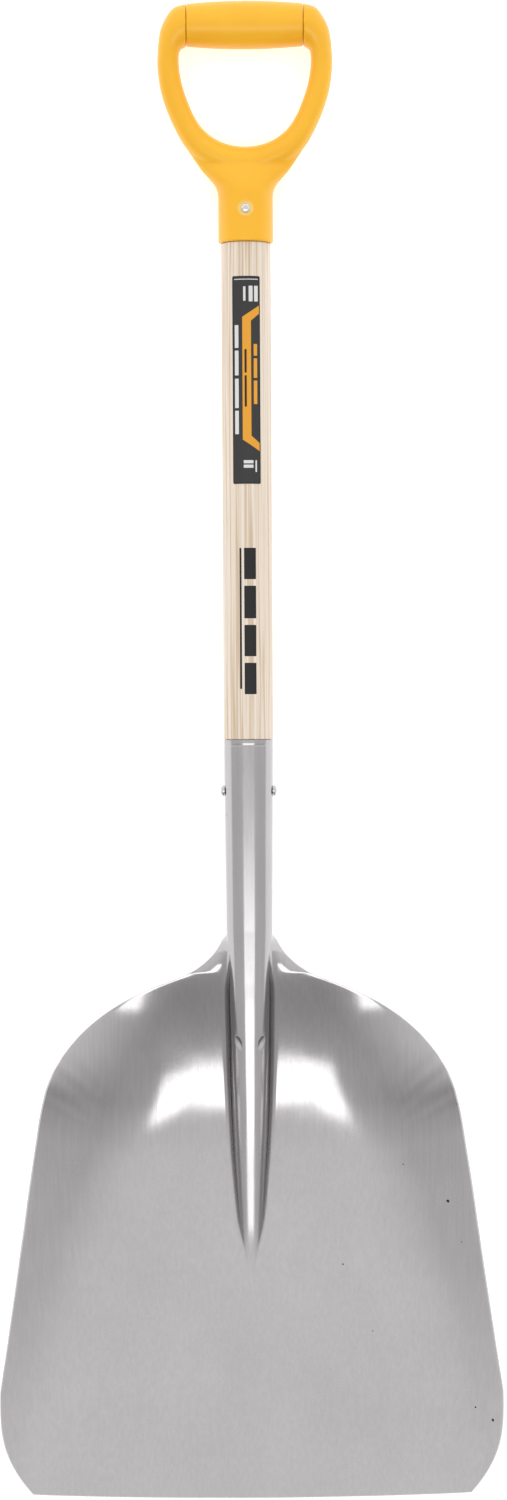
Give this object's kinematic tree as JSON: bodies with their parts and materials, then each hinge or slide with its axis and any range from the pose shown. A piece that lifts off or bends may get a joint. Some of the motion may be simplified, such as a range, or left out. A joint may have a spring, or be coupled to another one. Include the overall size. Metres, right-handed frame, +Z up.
{
  "type": "grain scoop shovel",
  "caption": "Wide shallow pressed-metal scoop with a rolled socket on a straight wooden shaft that ends in a moulded D-shaped hand grip.",
  "frame": {"origin": "on the ground under the middle of the object's box, with the shovel lying on its back", "axes": "+Z up, out of the hollow of the scoop, +Y along the shaft from the lip to the grip, +X across the scoop"},
  "size_m": [0.3782, 1.1352, 0.117],
  "materials": {
    "scoop_sheet": "bright pressed sheet, lightly brushed along its length",
    "shaft_wood": "pale straight-grained ash under clear lacquer",
    "grip_plastic": "amber moulded plastic, satin",
    "label_film": "coated label film",
    "screw_steel": "plated, bright"
  },
  "bodies": {
    "root": {"scoop": "scoop_sheet", "shaft": "shaft_wood", "d_grip": "grip_plastic", "hand_bar": "grip_plastic", "label": "label_film", "grip_screw": "screw_steel", "socket_screw_left": "screw_steel", "socket_screw_right": "screw_steel"}
  },
  "joints": []
}
